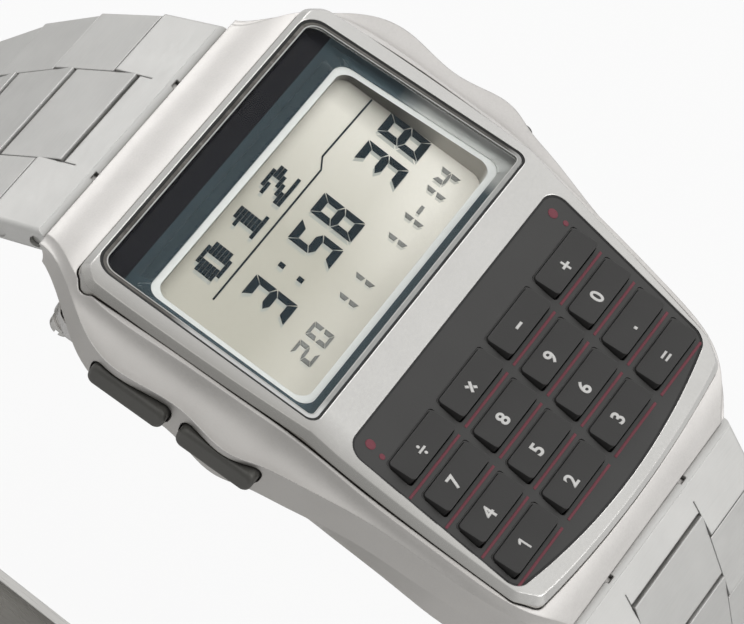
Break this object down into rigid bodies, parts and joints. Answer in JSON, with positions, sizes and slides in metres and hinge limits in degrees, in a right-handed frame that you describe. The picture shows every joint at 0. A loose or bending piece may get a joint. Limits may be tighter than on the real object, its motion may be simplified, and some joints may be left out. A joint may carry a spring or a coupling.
{
  "type": "digital calculator wristwatch",
  "caption": "Digital wristwatch with a display over a small calculator keypad, side buttons and a metal link bracelet closed by a folding clasp.",
  "frame": {"origin": "on the ground under the middle of the case, centre of the object's base", "axes": "+X towards 3 o'clock, +Y towards 12 o'clock, +Z along the dial's normal, away from the wrist"},
  "size_m": [0.0344, 0.0642, 0.0628],
  "materials": {
    "case_steel": "satin",
    "bezel_steel": "polished with satin faces",
    "crystal_glass": "clear polished",
    "mask_dark": "printed dark blue and black under the glass",
    "frame_silver": "silver",
    "lcd_panel": "pale reflective display",
    "light_panel": "matte",
    "dark_rubber": "matte",
    "board_green": "satin",
    "dark_plastic": "matte",
    "battery_steel": "satin",
    "contact_brass": "satin",
    "key_plate_dark": "matte",
    "key_plastic": "matte with white figures",
    "button_metal": "dark grey satin",
    "back_steel": "brushed",
    "link_steel": "brushed with polished edges",
    "clasp_steel": "brushed"
  },
  "bodies": {
    "case": {"case": "case_steel", "bezel": "bezel_steel", "crystal": "crystal_glass", "display_mask": "mask_dark", "lcd_frame": "frame_silver", "lcd": "lcd_panel", "light_panel": "light_panel", "lcd_contact_strips": "dark_rubber", "circuit_board": "board_green", "module_frame": "dark_plastic", "battery": "battery_steel", "battery_clamp": "battery_steel", "side_contacts": "contact_brass", "key_plate": "key_plate_dark", "key_mat": "dark_rubber", "case_back": "back_steel", "back_gasket": "dark_rubber", "back_screws": "back_steel", "buzzer": "contact_brass"},
    "key_divide": {"key_divide": "key_plastic"},
    "key_multiply": {"key_multiply": "key_plastic"},
    "key_minus": {"key_minus": "key_plastic"},
    "key_plus": {"key_plus": "key_plastic"},
    "key_7": {"key_7": "key_plastic"},
    "key_8": {"key_8": "key_plastic"},
    "key_9": {"key_9": "key_plastic"},
    "key_0": {"key_0": "key_plastic"},
    "key_4": {"key_4": "key_plastic"},
    "key_5": {"key_5": "key_plastic"},
    "key_6": {"key_6": "key_plastic"},
    "key_point": {"key_point": "key_plastic"},
    "key_1": {"key_1": "key_plastic"},
    "key_2": {"key_2": "key_plastic"},
    "key_3": {"key_3": "key_plastic"},
    "key_equals": {"key_equals": "key_plastic"},
    "button_3_upper": {"button_3_upper": "button_metal"},
    "button_3_lower": {"button_3_lower": "button_metal"},
    "button_9_upper": {"button_9_upper": "button_metal"},
    "button_9_lower": {"button_9_lower": "button_metal"},
    "end_link_12": {"end_link_12": "link_steel"},
    "link_12_1": {"link_12_1": "link_steel"},
    "link_12_2": {"link_12_2": "link_steel"},
    "links_12_3_4": {"links_12_3_4": "link_steel"},
    "links_12_5_6": {"links_12_5_6": "link_steel"},
    "links_12_7_8": {"links_12_7_8": "link_steel"},
    "links_12_9_10": {"links_12_9_10": "link_steel"},
    "links_12_11_12": {"links_12_11_12": "link_steel"},
    "links_12_13_14": {"links_12_13_14": "link_steel"},
    "clasp_cover": {"clasp_cover": "clasp_steel"},
    "clasp_blade_1": {"clasp_blade_1": "clasp_steel"},
    "clasp_blade_2": {"clasp_blade_2": "clasp_steel"},
    "end_link_6": {"end_link_6": "link_steel"},
    "link_6_1": {"link_6_1": "link_steel"},
    "link_6_2": {"link_6_2": "link_steel"},
    "links_6_3_4": {"links_6_3_4": "link_steel"},
    "links_6_5_6": {"links_6_5_6": "link_steel"},
    "links_6_7_8": {"links_6_7_8": "link_steel"},
    "links_6_9_10": {"links_6_9_10": "link_steel"},
    "links_6_11_12": {"links_6_11_12": "link_steel"},
    "links_6_13_14": {"links_6_13_14": "link_steel"}
  },
  "joints": [
    {"name": "key_divide_press", "type": "slide", "parent": "case", "child": "key_divide", "axis": [0, 0.1063, -0.9943], "range_m": [0, 0.00035], "stiffness_N_per_m": 200},
    {"name": "key_multiply_press", "type": "slide", "parent": "case", "child": "key_multiply", "axis": [0, 0.1063, -0.9943], "range_m": [0, 0.00035], "stiffness_N_per_m": 200},
    {"name": "key_minus_press", "type": "slide", "parent": "case", "child": "key_minus", "axis": [0, 0.1063, -0.9943], "range_m": [0, 0.00035], "stiffness_N_per_m": 200},
    {"name": "key_plus_press", "type": "slide", "parent": "case", "child": "key_plus", "axis": [0, 0.1063, -0.9943], "range_m": [0, 0.00035], "stiffness_N_per_m": 200},
    {"name": "key_7_press", "type": "slide", "parent": "case", "child": "key_7", "axis": [0, 0.1063, -0.9943], "range_m": [0, 0.00035], "stiffness_N_per_m": 200},
    {"name": "key_8_press", "type": "slide", "parent": "case", "child": "key_8", "axis": [0, 0.1063, -0.9943], "range_m": [0, 0.00035], "stiffness_N_per_m": 200},
    {"name": "key_9_press", "type": "slide", "parent": "case", "child": "key_9", "axis": [0, 0.1063, -0.9943], "range_m": [0, 0.00035], "stiffness_N_per_m": 200},
    {"name": "key_0_press", "type": "slide", "parent": "case", "child": "key_0", "axis": [0, 0.1063, -0.9943], "range_m": [0, 0.00035], "stiffness_N_per_m": 200},
    {"name": "key_4_press", "type": "slide", "parent": "case", "child": "key_4", "axis": [0, 0.1063, -0.9943], "range_m": [0, 0.00035], "stiffness_N_per_m": 200},
    {"name": "key_5_press", "type": "slide", "parent": "case", "child": "key_5", "axis": [0, 0.1063, -0.9943], "range_m": [0, 0.00035], "stiffness_N_per_m": 200},
    {"name": "key_6_press", "type": "slide", "parent": "case", "child": "key_6", "axis": [0, 0.1063, -0.9943], "range_m": [0, 0.00035], "stiffness_N_per_m": 200},
    {"name": "key_point_press", "type": "slide", "parent": "case", "child": "key_point", "axis": [0, 0.1063, -0.9943], "range_m": [0, 0.00035], "stiffness_N_per_m": 200},
    {"name": "key_1_press", "type": "slide", "parent": "case", "child": "key_1", "axis": [0, 0.1063, -0.9943], "range_m": [0, 0.00035], "stiffness_N_per_m": 200},
    {"name": "key_2_press", "type": "slide", "parent": "case", "child": "key_2", "axis": [0, 0.1063, -0.9943], "range_m": [0, 0.00035], "stiffness_N_per_m": 200},
    {"name": "key_3_press", "type": "slide", "parent": "case", "child": "key_3", "axis": [0, 0.1063, -0.9943], "range_m": [0, 0.00035], "stiffness_N_per_m": 200},
    {"name": "key_equals_press", "type": "slide", "parent": "case", "child": "key_equals", "axis": [0, 0.1063, -0.9943], "range_m": [0, 0.00035], "stiffness_N_per_m": 200},
    {"name": "button_3_upper_press", "type": "slide", "parent": "case", "child": "button_3_upper", "axis": [-1, 0, 0], "range_m": [0, 0.0005], "stiffness_N_per_m": 400},
    {"name": "button_3_lower_press", "type": "slide", "parent": "case", "child": "button_3_lower", "axis": [-1, 0, 0], "range_m": [0, 0.0005], "stiffness_N_per_m": 400},
    {"name": "button_9_upper_press", "type": "slide", "parent": "case", "child": "button_9_upper", "axis": [1, 0, 0], "range_m": [0, 0.0005], "stiffness_N_per_m": 400},
    {"name": "button_9_lower_press", "type": "slide", "parent": "case", "child": "button_9_lower", "axis": [1, 0, 0], "range_m": [0, 0.0005], "stiffness_N_per_m": 400},
    {"name": "end_link_12_hinge", "type": "hinge", "parent": "case", "child": "end_link_12", "pos_m": [0, 0.0188, 0.0573], "axis": [1, 0, 0], "range_deg": [0, 33]},
    {"name": "link_12_1_hinge", "type": "hinge", "parent": "end_link_12", "child": "link_12_1", "pos_m": [0, 0.0209, 0.05594], "axis": [1, 0, 0], "range_deg": [0, 11]},
    {"name": "link_12_2_hinge", "type": "hinge", "parent": "link_12_1", "child": "link_12_2", "pos_m": [0, 0.02399, 0.05295], "axis": [1, 0, 0], "range_deg": [0, 10]},
    {"name": "links_12_3_4_hinge", "type": "hinge", "parent": "link_12_2", "child": "links_12_3_4", "pos_m": [0, 0.02652, 0.04947], "axis": [1, 0, 0], "range_deg": [0, 9]},
    {"name": "links_12_5_6_hinge", "type": "hinge", "parent": "links_12_3_4", "child": "links_12_5_6", "pos_m": [0, 0.02987, 0.04157], "axis": [1, 0, 0], "range_deg": [0, 7]},
    {"name": "links_12_7_8_hinge", "type": "hinge", "parent": "links_12_5_6", "child": "links_12_7_8", "pos_m": [0, 0.03114, 0.03309], "axis": [1, 0, 0], "range_deg": [0, 7]},
    {"name": "links_12_9_10_hinge", "type": "hinge", "parent": "links_12_7_8", "child": "links_12_9_10", "pos_m": [0, 0.03032, 0.02454], "axis": [1, 0, 0], "range_deg": [0, 7]},
    {"name": "links_12_11_12_hinge", "type": "hinge", "parent": "links_12_9_10", "child": "links_12_11_12", "pos_m": [0, 0.02745, 0.01645], "axis": [1, 0, 0], "range_deg": [0, 7]},
    {"name": "links_12_13_14_hinge", "type": "hinge", "parent": "links_12_11_12", "child": "links_12_13_14", "pos_m": [0, 0.02271, 0.00929], "axis": [1, 0, 0], "range_deg": [0, 7]},
    {"name": "clasp_cover_hinge", "type": "hinge", "parent": "links_12_13_14", "child": "clasp_cover", "pos_m": [0, 0.01634, 0.00355], "axis": [1, 0, 0], "range_deg": [0, 38]},
    {"name": "clasp_blade_1_hinge", "type": "hinge", "parent": "clasp_cover", "child": "clasp_blade_1", "pos_m": [0, -0.01356, 0.00175], "axis": [1, 0, 0], "range_deg": [0, 90]},
    {"name": "clasp_blade_2_hinge", "type": "hinge", "parent": "clasp_blade_1", "child": "clasp_blade_2", "pos_m": [0, 0.01226, 0.00275], "axis": [-1, 0, 0], "range_deg": [0, 110]},
    {"name": "end_link_6_hinge", "type": "hinge", "parent": "case", "child": "end_link_6", "pos_m": [0, -0.0188, 0.0573], "axis": [-1, 0, 0], "range_deg": [0, 33]},
    {"name": "link_6_1_hinge", "type": "hinge", "parent": "end_link_6", "child": "link_6_1", "pos_m": [0, -0.0209, 0.05594], "axis": [-1, 0, 0], "range_deg": [0, 11]},
    {"name": "link_6_2_hinge", "type": "hinge", "parent": "link_6_1", "child": "link_6_2", "pos_m": [0, -0.02399, 0.05295], "axis": [-1, 0, 0], "range_deg": [0, 10]},
    {"name": "links_6_3_4_hinge", "type": "hinge", "parent": "link_6_2", "child": "links_6_3_4", "pos_m": [0, -0.02652, 0.04947], "axis": [-1, 0, 0], "range_deg": [0, 9]},
    {"name": "links_6_5_6_hinge", "type": "hinge", "parent": "links_6_3_4", "child": "links_6_5_6", "pos_m": [0, -0.02987, 0.04157], "axis": [-1, 0, 0], "range_deg": [0, 7]},
    {"name": "links_6_7_8_hinge", "type": "hinge", "parent": "links_6_5_6", "child": "links_6_7_8", "pos_m": [0, -0.03114, 0.03309], "axis": [-1, 0, 0], "range_deg": [0, 7]},
    {"name": "links_6_9_10_hinge", "type": "hinge", "parent": "links_6_7_8", "child": "links_6_9_10", "pos_m": [0, -0.03032, 0.02454], "axis": [-1, 0, 0], "range_deg": [0, 7]},
    {"name": "links_6_11_12_hinge", "type": "hinge", "parent": "links_6_9_10", "child": "links_6_11_12", "pos_m": [0, -0.02745, 0.01645], "axis": [-1, 0, 0], "range_deg": [0, 7]},
    {"name": "links_6_13_14_hinge", "type": "hinge", "parent": "links_6_11_12", "child": "links_6_13_14", "pos_m": [0, -0.02271, 0.00929], "axis": [-1, 0, 0], "range_deg": [0, 7]}
  ]
}
